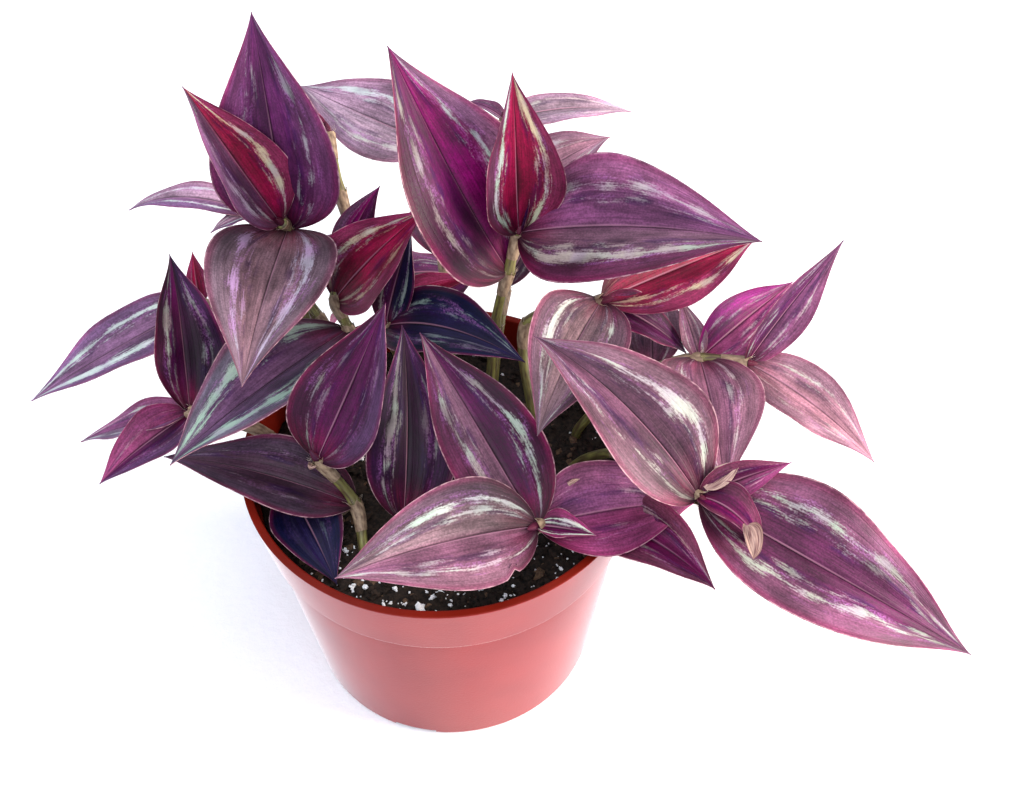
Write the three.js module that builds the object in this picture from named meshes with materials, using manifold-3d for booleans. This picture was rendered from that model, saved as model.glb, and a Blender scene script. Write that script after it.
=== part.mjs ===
// Potted tradescantia: leafy stems standing in soil, in an 11 cm plastic nursery pot.
// Millimetres, +Z up. The origin is the middle of the pot's foot, on the surface it stands on.
// +X is to the right and -Y is the front, so a heading of -90 degrees points at the viewer.

import * as THREE from "three";
import { mergeVertices } from "three/addons/utils/BufferGeometryUtils.js";
import Module from "manifold-3d";

const wasm = await Module();
wasm.setup();

// A three.js geometry as a closed solid, and back again
function solidOf(geometry) {
  const bare = geometry.index ? geometry.toNonIndexed() : geometry.clone();
  bare.deleteAttribute("normal");
  bare.deleteAttribute("uv");
  const welded = mergeVertices(bare, 1e-4);
  const vertProperties = new Float32Array(welded.attributes.position.array);
  const triVerts = new Uint32Array(welded.index.array);
  return new wasm.Manifold(new wasm.Mesh({ numProp: 3, vertProperties, triVerts }));
}

function geometryOf(solid) {
  const mesh = solid.getMesh();
  const geometry = new THREE.BufferGeometry();
  geometry.setAttribute("position", new THREE.Float32BufferAttribute(mesh.vertProperties, 3));
  geometry.setIndex(Array.from(mesh.triVerts));
  return geometry;
}

function meshOf(name, solid, color, roughness) {
  const material = new THREE.MeshStandardMaterial({ color, roughness, metalness: 0 });
  const flat = geometryOf(solid).toNonIndexed();
  flat.computeVertexNormals();
  const mesh = new THREE.Mesh(flat, material);
  mesh.name = name;
  return mesh;
}

const radians = THREE.MathUtils.degToRad;

// Pot: one thin moulding with a lip, a collar, a foot ring and a raised drain channel
const RIM_RADIUS = 55;
const POT_HEIGHT = 80;
const LIP_WIDTH = 2.3;
const LIP_ROUNDING = 0.5;
const COLLAR_DROP = 19;
const COLLAR_FOOT_RADIUS = 51.6;
const COLLAR_STEP = 1.2;
const WALL = 1.3;
const FOOT_RADIUS = 42;
const FOOT_BEVEL = 0.8;
const FLOOR = 1.5;
const CHANNEL_SLOPE = 2;
const CHANNEL_HEIGHT = 2.5;
const CHANNEL_INNER = 24;
const CHANNEL_OUTER = 37.5;
const POT_SIDES = 48;
const DRAIN_HOLES = 8;
const DRAIN_HOLE_RADIUS = 2.5;
const NOTCHES = 4;
const NOTCH_WIDTH = 12.5;
const NOTCH_HEIGHT = 2;
const NOTCH_DEPTH = 10;
const FIRST_NOTCH = -105;
const GAP = 0.3;

const COLLAR_Z = POT_HEIGHT - COLLAR_DROP;
const CHANNEL_FLOOR = CHANNEL_HEIGHT + FLOOR;
const STEP_RADIUS = CHANNEL_INNER - CHANNEL_SLOPE - 0.4;
const WALL_SLOPE = (COLLAR_FOOT_RADIUS - COLLAR_STEP - FOOT_RADIUS) / COLLAR_Z;

function outsideRadius(z) {
  return FOOT_RADIUS + WALL_SLOPE * z;
}

function insideRadius(z) {
  return outsideRadius(z) - WALL;
}

function lathe(profile, sides) {
  const points = profile.map(([radius, z]) => new THREE.Vector2(radius, z));
  const geometry = new THREE.LatheGeometry(points, sides);
  geometry.rotateX(Math.PI / 2);
  return solidOf(geometry);
}

function potSolid() {
  const shell = lathe([
    [0, 0],
    [CHANNEL_INNER - CHANNEL_SLOPE, 0],
    [CHANNEL_INNER, CHANNEL_HEIGHT],
    [CHANNEL_OUTER, CHANNEL_HEIGHT],
    [CHANNEL_OUTER + CHANNEL_SLOPE / 2, 0],
    [FOOT_RADIUS - FOOT_BEVEL, 0],
    [outsideRadius(FOOT_BEVEL), FOOT_BEVEL],
    [outsideRadius(COLLAR_Z), COLLAR_Z],
    [COLLAR_FOOT_RADIUS, COLLAR_Z],
    [RIM_RADIUS, POT_HEIGHT - LIP_ROUNDING],
    [RIM_RADIUS - LIP_ROUNDING, POT_HEIGHT],
    [RIM_RADIUS - LIP_WIDTH, POT_HEIGHT],
    [COLLAR_FOOT_RADIUS - WALL, COLLAR_Z + WALL],
    [insideRadius(COLLAR_Z), COLLAR_Z],
    [insideRadius(CHANNEL_FLOOR), CHANNEL_FLOOR],
    [STEP_RADIUS + CHANNEL_SLOPE, CHANNEL_FLOOR],
    [STEP_RADIUS, FLOOR],
    [0, FLOOR],
  ], POT_SIDES);

  const cuts = [];
  for (let i = 0; i < DRAIN_HOLES; i++) {
    const hole = new THREE.CylinderGeometry(DRAIN_HOLE_RADIUS, DRAIN_HOLE_RADIUS, 4 * FLOOR, 12);
    hole.rotateX(Math.PI / 2);
    hole.translate((CHANNEL_INNER + CHANNEL_OUTER) / 2, 0, CHANNEL_HEIGHT + FLOOR / 2);
    hole.rotateZ(radians((360 * i) / DRAIN_HOLES));
    cuts.push(solidOf(hole));
  }
  for (let i = 0; i < NOTCHES; i++) {
    const notch = new THREE.BoxGeometry(NOTCH_DEPTH, NOTCH_WIDTH, 2 * NOTCH_HEIGHT);
    notch.translate(FOOT_RADIUS, 0, 0);
    notch.rotateZ(radians(FIRST_NOTCH + (360 * i) / NOTCHES));
    cuts.push(solidOf(notch));
  }
  return cuts.reduce((solid, cut) => solid.subtract(cut), shell);
}

// A leafy stem: jointed stem, a clasping sheath at each node, and the leaf blades
const STEM_RADIUS = 1.4;
const STEM_SIDES = 6;
const STEM_STEPS = 9;
const SHEATH_MOUTH_RADIUS = 2.1;
const SHEATH_FOOT_RADIUS = 1.7;
const SHEATH_LENGTH = 8;
const HOLE_RADIUS = 2.3;
const HOLE_SIDES = 8;
const BURIED_Z = 52;
const SOIL_Z = 69;
const BLADE = 0.7;
const BLADE_ROWS = 6;
const BLADE_ACROSS = [-1, -0.5, 0, 0.5, 1];
const SMALL_BLADE = 45;
const SMALL_ROWS = 5;
const SMALL_ACROSS = [-1, 0, 1];
const ROOT_HALF_WIDTH = 1;
const TIP_HALF_WIDTH = 0.3;

// Half the blade's width at t along it, 1 at the widest place: round base, drawn-out tip
const WIDEST_POWER = 0.66;
const TIP_PINCH = 0.35;

function bladeProfile(t) {
  return Math.sin(Math.PI * t ** WIDEST_POWER) * (1 - TIP_PINCH * t ** 6);
}

// Centre line, sideways direction and upward direction of a leaf at t along it
function bladeFrames(base, blade, rows) {
  const { heading, rise, length, droop, roll, sweep } = blade;
  const point = base.clone();
  const frames = [];
  const direction = (t) => {
    const pitch = radians(rise - droop * t);
    const turn = radians(heading + sweep * t);
    return new THREE.Vector3(
      Math.cos(pitch) * Math.cos(turn),
      Math.cos(pitch) * Math.sin(turn),
      Math.sin(pitch),
    );
  };
  for (let row = 0; row <= rows; row++) {
    const t = row / rows;
    if (row > 0) {
      point.addScaledVector(direction((row - 0.5) / rows), length / rows);
    }
    const ahead = direction(t);
    const turn = radians(heading + sweep * t);
    const side = new THREE.Vector3(-Math.sin(turn), Math.cos(turn), 0);
    side.applyAxisAngle(ahead, radians(roll));
    const up = new THREE.Vector3().crossVectors(ahead, side);
    frames.push({ t, point: point.clone(), side, up });
  }
  return frames;
}

function bladeSolid(base, blade) {
  const { length, width, cup } = blade;
  const small = length < SMALL_BLADE;
  const rows = small ? SMALL_ROWS : BLADE_ROWS;
  const across = small ? SMALL_ACROSS : BLADE_ACROSS;
  const columns = across.length;
  const top = [];
  const under = [];
  for (const frame of bladeFrames(base, blade, rows)) {
    let half = (width / 2) * bladeProfile(frame.t);
    half = Math.max(half, frame.t < 0.5 ? ROOT_HALF_WIDTH : TIP_HALF_WIDTH);
    for (const v of across) {
      const bend = 2 * cup * v;
      const sideways = (half * Math.sin(bend)) / (2 * cup);
      const lift = (half * (1 - Math.cos(bend))) / (2 * cup);
      const middle = frame.point.clone().addScaledVector(frame.side, sideways);
      middle.addScaledVector(frame.up, lift);
      top.push(middle.clone().addScaledVector(frame.up, BLADE / 2));
      under.push(middle.clone().addScaledVector(frame.up, -BLADE / 2));
    }
  }

  const corners = [];
  const quad = (a, b, c, d) => corners.push(a, b, c, a, c, d);
  for (let row = 0; row < rows; row++) {
    for (let column = 0; column < columns - 1; column++) {
      const a = row * columns + column;
      const b = a + 1;
      const c = b + columns;
      const d = a + columns;
      quad(top[a], top[d], top[c], top[b]);
      quad(under[a], under[b], under[c], under[d]);
    }
    const right = row * columns;
    const left = right + columns - 1;
    quad(top[right], under[right], under[right + columns], top[right + columns]);
    quad(under[left], top[left], top[left + columns], under[left + columns]);
  }
  const last = rows * columns;
  for (let column = 0; column < columns - 1; column++) {
    quad(top[column], top[column + 1], under[column + 1], under[column]);
    quad(top[last + column + 1], top[last + column], under[last + column], under[last + column + 1]);
  }
  return solidOf(new THREE.BufferGeometry().setFromPoints(corners));
}

function stemCurve(stem) {
  const [x, y] = stem.root;
  const points = [
    new THREE.Vector3(x, y, BURIED_Z),
    new THREE.Vector3(x, y, SOIL_Z - 5),
    new THREE.Vector3(x, y, SOIL_Z + 2),
    ...stem.nodes.map((node) => new THREE.Vector3(...node)),
  ];
  return new THREE.CatmullRomCurve3(points, false, "centripetal");
}

function tubeSolid(curve, radius) {
  const section = new THREE.Shape();
  for (let i = 0; i < STEM_SIDES; i++) {
    const angle = (2 * Math.PI * i) / STEM_SIDES;
    const place = [radius * Math.cos(angle), radius * Math.sin(angle)];
    if (i === 0) section.moveTo(...place);
    else section.lineTo(...place);
  }
  return solidOf(new THREE.ExtrudeGeometry(section, { steps: STEM_STEPS, extrudePath: curve }));
}

// The sheath that clasps the stem below a leaf's base, with its mouth at the base
function sheathSolid(curve, nodeCount, index) {
  const at = (index + 3) / (nodeCount + 2);
  const sheath = new THREE.CylinderGeometry(
    SHEATH_MOUTH_RADIUS,
    SHEATH_FOOT_RADIUS,
    SHEATH_LENGTH,
    STEM_SIDES,
  );
  sheath.translate(0, 0.5 - SHEATH_LENGTH / 2, 0);
  const along = curve.getTangent(at);
  const upright = new THREE.Vector3(0, 1, 0);
  sheath.applyQuaternion(new THREE.Quaternion().setFromUnitVectors(upright, along));
  sheath.translate(...curve.getPoint(at));
  return solidOf(sheath);
}

function leafyStemSolid(stem) {
  const curve = stemCurve(stem);
  const pieces = [tubeSolid(curve, STEM_RADIUS)];
  stem.nodes.forEach((_, index) => {
    pieces.push(sheathSolid(curve, stem.nodes.length, index));
  });
  for (const blade of stem.leaves) {
    const base = new THREE.Vector3(...stem.nodes[blade.node]);
    pieces.push(bladeSolid(base, blade));
  }
  return pieces.reduce((solid, piece) => solid.add(piece));
}

// A leaf grows from one of its stem's nodes. Heading is its compass direction seen from above,
// rise its slope at the base, and droop how far it has bent down by the tip. Roll turns the blade
// about its midrib, cup bends its two halves up (radians), and sweep curves it sideways.
function leaf(node, heading, rise, length, width, droop, roll, cup, sweep) {
  return { node, heading, rise, length, width, droop, roll, cup, sweep };
}

// Where each stem is rooted in the soil, the places of its nodes, and its leaves
const STEMS = [
  {
    name: "leafy_stem_tall_left",
    root: [-25, 13],
    nodes: [[-37, 32, 92], [-42, 50, 117], [-43, 46, 123]],
    leaves: [
      leaf(1, 100, 95, 67, 36, 20, -15, 0.25, 5),
      leaf(2, 190, 69, 51, 24, 0, -50, 0.5, 0),
      leaf(1, -95, 16, 64, 36, 25, -5, 0.25, 0),
    ],
  },
  {
    name: "leafy_stem_top",
    root: [13, 20],
    nodes: [[15, 29, 98], [19, 31, 117], [22, 34, 128]],
    leaves: [
      leaf(1, 183, 68, 75, 40, 0, -37, 0.25, -24),
      leaf(2, 120, 90, 50, 26, 5, -10, 0.5, 0),
      leaf(2, -28, 31, 69, 38, 27, 28, 0.25, 5),
      leaf(2, 60, 75, 20, 8, 10, 0, 0.7, 0),
    ],
  },
  {
    name: "leafy_stem_mid_right",
    root: [26, 14],
    nodes: [[24, 28, 100], [44, 25, 111]],
    leaves: [
      leaf(1, 30, 0, 55, 27, 10, 30, 0.45, 5),
      leaf(1, -115, 12, 49, 28, 32, -15, 0.3, 5),
      leaf(1, -10, -20, 30, 14, 30, 10, 0.3, 0),
    ],
  },
  {
    name: "leafy_stem_front_left",
    root: [-21, -26],
    nodes: [[-23, -17, 78], [-32, -12, 91]],
    leaves: [
      leaf(0, 164, 20, 54, 24, 26, -5, 0.25, 5),
      leaf(1, 25, 62, 51, 28, 0, 35, 0.4, 10),
    ],
  },
  {
    name: "leafy_stem_centre",
    root: [-8, -22],
    nodes: [[-10, -22, 77]],
    leaves: [
      leaf(0, 80, 46, 52, 26, 8, 25, 0.25, 18),
    ],
  },
  {
    name: "leafy_stem_front",
    root: [38, -18],
    nodes: [[37, -22, 80], [25, -33, 88]],
    leaves: [
      leaf(1, 127, 38, 59, 28, 20, 0, 0.3, -5),
      leaf(1, -158, 22, 54, 30, 36, -28, 0.3, -5),
      leaf(1, 17, 0, 47, 28, 28, 20, 0.3, 5),
      leaf(1, -5, 10, 18, 8, 5, 0, 0.7, 0),
      leaf(0, -33, 15, 43, 24, 55, 0, 0.3, 0),
    ],
  },
  {
    name: "leafy_stem_front_right",
    root: [36, 0],
    nodes: [[50, -14, 93], [66, -31, 96]],
    leaves: [
      leaf(1, 145, 56, 60, 33, 50, -8, 0.3, 0),
      leaf(1, -25, -18, 85, 38, 18, 15, 0.3, 14),
      leaf(1, 15, 15, 25, 11, 15, 30, 0.4, 0),
      leaf(1, -35, 25, 24, 14, 110, 0, 0.6, 0),
    ],
  },
  {
    name: "leafy_stem_right",
    root: [38, 14],
    nodes: [[58, 17, 92], [71, 18, 95], [84, 17, 94]],
    leaves: [
      leaf(1, 42, 8, 39, 19, 5, 30, 0.5, 0),
      leaf(1, -87, 20, 46, 30, 45, -10, 0.25, 0),
      leaf(1, 110, 40, 18, 8, 10, 0, 0.3, 0),
      leaf(0, 85, 10, 38, 18, 30, 0, 0.25, 0),
      leaf(2, 35, 48, 42, 15, 10, 65, 0.4, 0),
      leaf(2, -31, -8, 45, 20, 34, 10, 0.25, 0),
    ],
  },
  {
    name: "leafy_stem_left",
    root: [-36, 2],
    nodes: [[-53, 5, 86], [-69, 9, 87]],
    leaves: [
      leaf(1, 95, 35, 46, 24, 10, 30, 0.4, 10),
      leaf(1, 177, -15, 36, 17, 14, 12, 0.25, 0),
      leaf(1, -140, 0, 31, 16, 25, -20, 0.4, 0),
    ],
  },
  {
    name: "leafy_stem_far_left",
    root: [-31, 19],
    nodes: [[-44, 31, 89], [-70, 47, 92]],
    leaves: [
      leaf(1, -147, -4, 55, 22, 16, -5, 0.25, -6),
      leaf(1, 100, 60, 15, 7, 10, 0, 0.3, 0),
    ],
  },
  {
    name: "leafy_stem_mid_left",
    root: [-16, 12],
    nodes: [[-26, 31, 96], [-30, 40, 99], [-27, 46, 108]],
    leaves: [
      leaf(0, -128, 15, 68, 36, 20, 5, 0.25, 0),
      leaf(1, -13, 58, 48, 26, 10, 55, 0.45, 0),
      leaf(2, 26, 70, 26, 12, 20, 40, 0.3, 0),
    ],
  },
  {
    name: "leafy_stem_inner",
    root: [-4, 14],
    nodes: [[-16, 36, 92]],
    leaves: [
      leaf(0, -34, 38, 50, 24, 48, 18, 0.3, 0),
      leaf(0, 22, 25, 30, 18, 15, 30, 0.4, 0),
      leaf(0, 60, 60, 29, 13, 10, 10, 0.3, 0),
    ],
  },
  {
    name: "leafy_stem_pot_edge",
    root: [-38, -8],
    nodes: [[-41, -12, 77]],
    leaves: [
      leaf(0, -62, 0, 30, 20, 25, 0, 0.25, 0),
    ],
  },
  {
    name: "leafy_stem_back_left",
    root: [-22, 30],
    nodes: [[-36, 44, 88], [-56, 73, 103]],
    leaves: [
      leaf(1, 168, 24, 42, 11, 62, -10, 0.25, 0),
      leaf(1, 100, 20, 44, 22, 30, 0, 0.25, 0),
      leaf(1, -150, 10, 14, 6, 30, 0, 0.3, 0),
      leaf(0, 170, 0, 36, 18, 40, 0, 0.3, 0),
    ],
  },
  {
    name: "leafy_stem_tall_back",
    root: [-12, 36],
    nodes: [[-22, 50, 100], [-28, 62, 120], [-31, 74, 131]],
    leaves: [
      leaf(2, 172, 30, 24, 11, 30, 0, 0.3, 0),
      leaf(0, 122, 0, 30, 15, 30, 0, 0.25, 0),
    ],
  },
  {
    name: "leafy_stem_back",
    root: [2, 36],
    nodes: [[0, 62, 94], [-1, 92, 112]],
    leaves: [
      leaf(1, 152, 5, 53, 27, 8, -32, 0.25, -12),
      leaf(1, 80, 30, 18, 7, 50, 0, 0.3, 0),
      leaf(0, 95, 0, 44, 22, 35, 0, 0.25, 0),
    ],
  },
  {
    name: "leafy_stem_back_right",
    root: [14, 32],
    nodes: [[18, 52, 91], [24, 80, 106], [19, 98, 116]],
    leaves: [
      leaf(2, 18, 5, 42, 13, 30, 10, 0.25, 0),
      leaf(2, 150, 35, 15, 6, 60, 0, 0.5, 0),
      leaf(1, 25, 25, 30, 24, 20, 0, 0.25, 0),
      leaf(0, 60, 25, 30, 12, 20, 0, 0.3, 0),
    ],
  },
  {
    name: "leafy_stem_trailing_back",
    root: [-8, 30],
    nodes: [[-12, 51, 87], [-16, 69, 80], [-20, 80, 64]],
    leaves: [
      leaf(1, 115, -20, 42, 21, 35, 0, 0.25, 0),
      leaf(1, 35, -15, 38, 19, 40, 0, 0.25, 0),
      leaf(2, 60, -40, 42, 21, 25, 0, 0.25, 0),
      leaf(2, 150, -35, 40, 20, 30, 0, 0.25, 0),
    ],
  },
  {
    name: "leafy_stem_low_right",
    root: [28, 26],
    nodes: [[40, 39, 89], [54, 58, 90]],
    leaves: [
      leaf(1, 60, 10, 38, 20, 35, 0, 0.25, 0),
      leaf(1, 130, 10, 36, 18, 30, 0, 0.25, 0),
      leaf(0, 0, 5, 34, 18, 30, 0, 0.25, 0),
    ],
  },
];

// Soil: the plug that fills the pot, uneven on top, with a plain hole for each stem
const SOIL_SIDES = 36;
const SOIL_RINGS = [38, 25, 12];
const SOIL_UNEVENNESS = 0.6;

function soilRise(x, y) {
  return SOIL_UNEVENNESS * (Math.sin(x / 5 + 1) * Math.cos(y / 6) + 0.5 * Math.sin(x / 2.3 - y / 3.1));
}

function soilSolid() {
  const geometry = new THREE.LatheGeometry([
    [0, FLOOR + GAP],
    [STEP_RADIUS - GAP, FLOOR + GAP],
    [STEP_RADIUS + CHANNEL_SLOPE - GAP, CHANNEL_FLOOR + GAP],
    [insideRadius(CHANNEL_FLOOR) - GAP, CHANNEL_FLOOR + GAP],
    [insideRadius(COLLAR_Z) - GAP, COLLAR_Z],
    [insideRadius(COLLAR_Z) - GAP, SOIL_Z],
    ...SOIL_RINGS.map((radius) => [radius, SOIL_Z]),
    [0, SOIL_Z],
  ].map(([radius, z]) => new THREE.Vector2(radius, z)), SOIL_SIDES);
  geometry.rotateX(Math.PI / 2);
  const place = geometry.attributes.position;
  for (let i = 0; i < place.count; i++) {
    if (place.getZ(i) > COLLAR_Z + GAP) {
      place.setZ(i, SOIL_Z + soilRise(place.getX(i), place.getY(i)));
    }
  }
  let soil = solidOf(geometry);
  for (const stem of STEMS) {
    const depth = 2 * (SOIL_Z - BURIED_Z + GAP);
    const hole = new THREE.CylinderGeometry(HOLE_RADIUS, HOLE_RADIUS, depth, HOLE_SIDES);
    hole.rotateX(Math.PI / 2);
    hole.translate(...stem.root, BURIED_Z - GAP + depth / 2);
    soil = soil.subtract(solidOf(hole));
  }
  return soil;
}

const plant = new THREE.Group();
plant.add(meshOf("pot", potSolid(), "#c4685a", 0.45));
plant.add(meshOf("soil", soilSolid(), "#2a211b", 0.95));
for (const stem of STEMS) {
  plant.add(meshOf(stem.name, leafyStemSolid(stem), "#6e4560", 0.5));
}

export default plant;
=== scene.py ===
# Potted tradescantia: a trailing house plant with striped leaves, in an 11 cm nursery pot.
# Sizes are in millimetres and MM turns them to metres. +Z is up and -Y is the front.
import math
import random

import bmesh
import bpy
import numpy as np
from mathutils import Matrix, Vector, noise


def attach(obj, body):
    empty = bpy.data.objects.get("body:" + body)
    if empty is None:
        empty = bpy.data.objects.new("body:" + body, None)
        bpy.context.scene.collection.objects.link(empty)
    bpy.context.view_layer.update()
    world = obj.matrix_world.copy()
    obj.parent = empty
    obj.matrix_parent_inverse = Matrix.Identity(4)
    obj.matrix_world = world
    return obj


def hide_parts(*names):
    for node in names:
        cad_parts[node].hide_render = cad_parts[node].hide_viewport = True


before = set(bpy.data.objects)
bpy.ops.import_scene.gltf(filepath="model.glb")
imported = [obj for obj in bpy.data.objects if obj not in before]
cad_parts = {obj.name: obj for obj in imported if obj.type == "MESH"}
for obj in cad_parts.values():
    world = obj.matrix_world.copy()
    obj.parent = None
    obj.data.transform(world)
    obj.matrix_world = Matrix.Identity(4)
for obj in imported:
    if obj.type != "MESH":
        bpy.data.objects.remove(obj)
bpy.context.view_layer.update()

scene = bpy.context.scene

# Pot: an 11 cm nursery pot, one thin injection moulding in terracotta-coloured polypropylene.
# A stiff collar runs under its lip, the foot ring is notched for drainage, and the floor has a
# raised channel with eight drain holes.
MM = 0.001
RIM_RADIUS = 55
POT_HEIGHT = 80
LIP_WIDTH = 2.3
COLLAR_DROP = 19
COLLAR_FOOT_RADIUS = 51.6
COLLAR_STEP = 1.2
WALL = 1.3
FOOT_RADIUS = 42
FOOT_BEVEL = 0.8
FLOOR = 1.5
CHANNEL_SLOPE = 2
CHANNEL_HEIGHT = 2.5
CHANNEL_INNER = 24
CHANNEL_OUTER = 37.5
STEP_SETBACK = 0.4
DRAIN_HOLES = 8
DRAIN_HOLE_RADIUS = 2.5
NOTCHES = 4
NOTCH_WIDTH = 12.5
NOTCH_HEIGHT = 2
NOTCH_DEPTH = 10
FIRST_NOTCH = -105
EDGE_ROUNDING = 0.45
ROUNDING_STEPS = 4
LEAST_EDGE = 3.2
SUPPORT = 1.4
POT_SIDES = 180
SHARP_ANGLE = 35
LIP_TOP = 0.2
GRAIN_SIZE = 0.55
MOTTLE_SIZE = 18

COLLAR_Z = POT_HEIGHT - COLLAR_DROP
CHANNEL_FLOOR = CHANNEL_HEIGHT + FLOOR
STEP_RADIUS = CHANNEL_INNER - CHANNEL_SLOPE - STEP_SETBACK
WALL_SLOPE = (COLLAR_FOOT_RADIUS - COLLAR_STEP - FOOT_RADIUS) / COLLAR_Z


def outside_radius(z):
    return FOOT_RADIUS + WALL_SLOPE * z


def inside_radius(z):
    return outside_radius(z) - WALL


def unit(vector):
    return vector / np.linalg.norm(vector)


def softened(corners, radius):
    """The outline through the corners, each of them rounded except the two ends on the axis. No edge
    is shorter than LEAST_EDGE times its roundings, and a point a little before and after each one
    keeps the faces between them flat to the eye."""
    corners = [np.array(corner, float) for corner in corners]
    outline = [corners[0]]
    for before, corner, after in zip(corners, corners[1:], corners[2:]):
        back, ahead = before - corner, after - corner
        reach = min(radius, np.linalg.norm(back) / LEAST_EDGE, np.linalg.norm(ahead) / LEAST_EDGE)
        start = corner + unit(back) * reach
        end = corner + unit(ahead) * reach
        outline.append(corner + SUPPORT * (start - corner))
        for share in np.linspace(0, 1, ROUNDING_STEPS + 1):
            outline.append((1 - share) ** 2 * start + 2 * share * (1 - share) * corner + share**2 * end)
        outline.append(corner + SUPPORT * (end - corner))
    return outline + [corners[-1]]


def turned(outline, sides):
    """Vertices and faces of an outline turned about the pot's axis. Its two ends lie on the axis."""
    angles = np.linspace(0, 2 * math.pi, sides, endpoint=False)
    verts = [(0, 0, outline[0][1])]
    for radius, z in outline[1:-1]:
        verts += [(radius * math.cos(angle), radius * math.sin(angle), z) for angle in angles]
    verts.append((0, 0, outline[-1][1]))
    last = 1 + (len(outline) - 3) * sides
    faces = []
    for i in range(sides):
        j = (i + 1) % sides
        faces.append((0, 1 + j, 1 + i))
        faces += [(a + i, a + j, a + sides + j, a + sides + i) for a in range(1, last, sides)]
        faces.append((last + i, last + j, len(verts) - 1))
    return verts, faces


def new_piece(name, verts, faces, materials, sharp_angle=SHARP_ANGLE):
    """An object with that mesh, in millimetres, smooth but for edges sharper than the angle."""
    mesh = bpy.data.meshes.new(name)
    mesh.from_pydata((np.array(verts, float) * MM).tolist(), [], faces)
    for material in materials:
        mesh.materials.append(material)
    mesh.shade_smooth()
    mesh.set_sharp_from_angle(angle=math.radians(sharp_angle))
    piece = bpy.data.objects.new(name, mesh)
    scene.collection.objects.link(piece)
    return piece


def linear(colour):
    """An sRGB hex colour as linear red, green, blue and alpha."""
    channels = [int(colour[i:i + 2], 16) / 255 for i in (1, 3, 5)]
    return [c / 12.92 if c <= 0.04045 else ((c + 0.055) / 1.055) ** 2.4 for c in channels] + [1]


def add_node(tree, kind, inputs, output, **settings):
    """Adds a node with its settings. Each input is a value or the output of another node. Returns
    the output that is asked for."""
    made = tree.nodes.new("ShaderNode" + kind)
    for name, value in settings.items():
        setattr(made, name, value)
    for socket, value in inputs.items():
        if isinstance(value, bpy.types.NodeSocket):
            tree.links.new(value, made.inputs[socket])
        else:
            made.inputs[socket].default_value = value
    return made.outputs[output]


def new_material(name, values):
    """A material with those values on its shader. Returns it, its node tree and its shader."""
    made = bpy.data.materials.new(name)
    made.use_nodes = True
    shader = made.node_tree.nodes["Principled BSDF"]
    for socket, value in values.items():
        shader.inputs[socket].default_value = value
    return made, made.node_tree, shader


def toned_relief(tree, shader, pattern, reach, tones, height, strength, depth):
    """Feeds the shader a colour between two tones, as the pattern goes through its reach, and a
    relief that follows a height. Its depth is in millimetres."""
    inputs = {"Value": pattern, "From Min": reach[0], "From Max": reach[1]}
    tone = add_node(tree, "MapRange", inputs, 0)
    inputs = {0: tone, 6: linear(tones[0]), 7: linear(tones[1])}
    colour = add_node(tree, "Mix", inputs, 2, data_type="RGBA")
    inputs = {"Height": height, "Strength": strength, "Distance": depth * MM}
    relief = add_node(tree, "Bump", inputs, "Normal")
    tree.links.new(colour, shader.inputs["Base Color"])
    tree.links.new(relief, shader.inputs["Normal"])


def moulded_polypropylene(name, deep, pale, roughness, haze):
    """Polypropylene from a mould with a fine spark-eroded grain, here drawn 0.55 mm across so that it
    shows. The grain scatters light, so that the wall goes chalky and pale where it turns from the
    eye, under the faint gloss of the skin that set against the cold steel."""
    made, tree, shader = new_material(
        name,
        {
            "IOR": 1.49, "Specular IOR Level": 0.1, "Roughness": roughness,
            "Sheen Weight": haze, "Sheen Roughness": 0.26,
            "Coat Weight": 0.1 * haze, "Coat Roughness": 0.18,
        },
    )
    where = add_node(tree, "TexCoord", {}, "Object")
    inputs = {"Vector": where, "Scale": 1 / (GRAIN_SIZE * MM), "Detail": 2}
    grain = add_node(tree, "TexNoise", inputs, "Fac")
    inputs = {"Vector": where, "Scale": 1 / (MOTTLE_SIZE * MM), "Detail": 3}
    mottle = add_node(tree, "TexNoise", inputs, "Fac")
    toned_relief(tree, shader, mottle, (0.3, 0.7), (deep, pale), grain, strength=0.4, depth=0.09)
    return made


pot_wall = moulded_polypropylene(
    "moulded_polypropylene_grained", "#842226", "#90282a", roughness=0.45, haze=1,
)
# The lip and the inside take a deeper red than the wall: painted shade on the same plastic
shaded_pot_inside = moulded_polypropylene(
    "moulded_polypropylene_smooth_shaded", "#601208", "#741a0e", roughness=0.38, haze=0,
)

pot_outline = softened([
    (0, 0),
    (CHANNEL_INNER - CHANNEL_SLOPE, 0),
    (CHANNEL_INNER, CHANNEL_HEIGHT),
    (CHANNEL_OUTER, CHANNEL_HEIGHT),
    (CHANNEL_OUTER + CHANNEL_SLOPE / 2, 0),
    (FOOT_RADIUS - FOOT_BEVEL, 0),
    (outside_radius(FOOT_BEVEL), FOOT_BEVEL),
    (outside_radius(COLLAR_Z), COLLAR_Z),
    (COLLAR_FOOT_RADIUS, COLLAR_Z),
    (RIM_RADIUS, POT_HEIGHT),
    (RIM_RADIUS - LIP_WIDTH, POT_HEIGHT),
    (COLLAR_FOOT_RADIUS - WALL, COLLAR_Z + WALL),
    (inside_radius(COLLAR_Z), COLLAR_Z),
    (inside_radius(CHANNEL_FLOOR), CHANNEL_FLOOR),
    (STEP_RADIUS + CHANNEL_SLOPE, CHANNEL_FLOOR),
    (STEP_RADIUS, FLOOR),
    (0, FLOOR),
], EDGE_ROUNDING)
pot = new_piece("nursery_pot", *turned(pot_outline, POT_SIDES), [pot_wall, shaded_pot_inside])

cutters = bmesh.new()
for i in range(DRAIN_HOLES):
    across = Matrix.Translation(((CHANNEL_INNER + CHANNEL_OUTER) / 2 * MM, 0, CHANNEL_HEIGHT * MM))
    bmesh.ops.create_cone(
        cutters, cap_ends=True, segments=32, radius1=DRAIN_HOLE_RADIUS * MM,
        radius2=DRAIN_HOLE_RADIUS * MM, depth=5 * FLOOR * MM,
        matrix=Matrix.Rotation(2 * math.pi * i / DRAIN_HOLES, 4, "Z") @ across,
    )
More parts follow.
